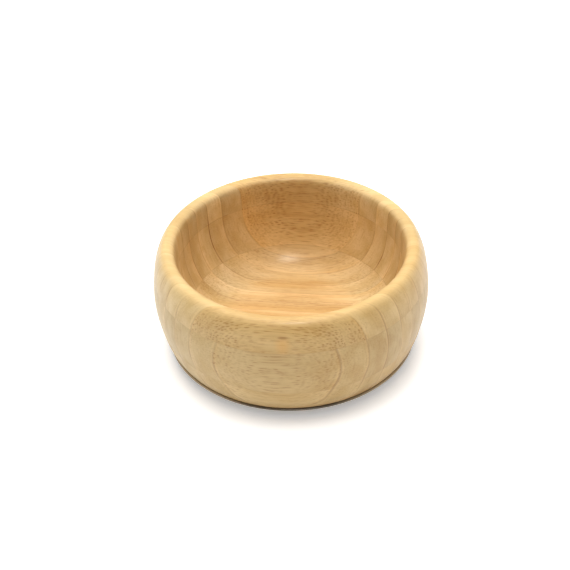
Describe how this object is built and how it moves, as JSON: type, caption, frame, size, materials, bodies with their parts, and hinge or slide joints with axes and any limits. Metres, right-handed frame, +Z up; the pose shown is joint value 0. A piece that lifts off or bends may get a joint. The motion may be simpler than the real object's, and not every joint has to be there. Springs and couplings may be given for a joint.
{
  "type": "suction bowl",
  "caption": "Small round bamboo baby bowl with a bellied wall, on a removable dark silicone suction base with a release tab.",
  "frame": {"origin": "on the table under the middle of the bowl, where the bowl's axis meets the table", "axes": "+Z up along the bowl's axis, -Y the front of the bowl, +Y the side with the release tab"},
  "size_m": [0.126, 0.1342, 0.0538],
  "materials": {
    "bamboo_light": "satin lacquered bamboo, pale strips",
    "bamboo_mid": "satin lacquered bamboo, medium strips",
    "bamboo_warm": "satin lacquered bamboo, warmer strips",
    "silicone": "soft matt food-grade silicone, dark warm grey"
  },
  "bodies": {
    "base": {"suction_base": "silicone"},
    "bowl": {"base_strip_01": "bamboo_warm", "base_strip_02": "bamboo_light", "base_strip_03": "bamboo_mid", "base_strip_04": "bamboo_warm", "base_strip_05": "bamboo_light", "base_strip_06": "bamboo_mid", "base_strip_07": "bamboo_warm", "base_strip_08": "bamboo_light", "base_strip_09": "bamboo_mid", "base_strip_10": "bamboo_warm", "base_strip_11": "bamboo_light", "base_strip_12": "bamboo_mid", "base_strip_13": "bamboo_warm", "base_strip_14": "bamboo_light", "base_strip_15": "bamboo_mid", "base_strip_16": "bamboo_warm", "base_strip_17": "bamboo_light", "base_strip_18": "bamboo_mid", "middle_strip_01": "bamboo_light", "middle_strip_02": "bamboo_mid", "middle_strip_03": "bamboo_warm", "middle_strip_04": "bamboo_light", "middle_strip_05": "bamboo_mid", "middle_strip_06": "bamboo_warm", "middle_strip_07": "bamboo_light", "middle_strip_08": "bamboo_mid", "middle_strip_09": "bamboo_warm", "middle_strip_10": "bamboo_light", "middle_strip_11": "bamboo_mid", "middle_strip_12": "bamboo_warm", "middle_strip_13": "bamboo_light", "middle_strip_14": "bamboo_mid", "middle_strip_15": "bamboo_warm", "middle_strip_16": "bamboo_light", "middle_strip_17": "bamboo_mid", "middle_strip_18": "bamboo_warm", "rim_strip_01": "bamboo_light", "rim_strip_02": "bamboo_mid", "rim_strip_03": "bamboo_warm", "rim_strip_04": "bamboo_light", "rim_strip_05": "bamboo_mid", "rim_strip_06": "bamboo_warm", "rim_strip_07": "bamboo_light", "rim_strip_08": "bamboo_mid", "rim_strip_09": "bamboo_warm", "rim_strip_10": "bamboo_light", "rim_strip_11": "bamboo_mid", "rim_strip_12": "bamboo_warm", "rim_strip_13": "bamboo_light", "rim_strip_14": "bamboo_mid", "rim_strip_15": "bamboo_warm", "rim_strip_16": "bamboo_light", "rim_strip_17": "bamboo_mid", "rim_strip_18": "bamboo_warm"},
    "tab": {"release_tab": "silicone"}
  },
  "joints": [
    {"name": "bowl_lift", "type": "slide", "parent": "base", "child": "bowl", "axis": [0, 0, 1], "range_m": [0, 0.016]},
    {"name": "tab_lift", "type": "hinge", "parent": "base", "child": "tab", "pos_m": [0, 0.0594, 0.0012], "axis": [1, 0, 0], "range_deg": [0, 50]}
  ]
}
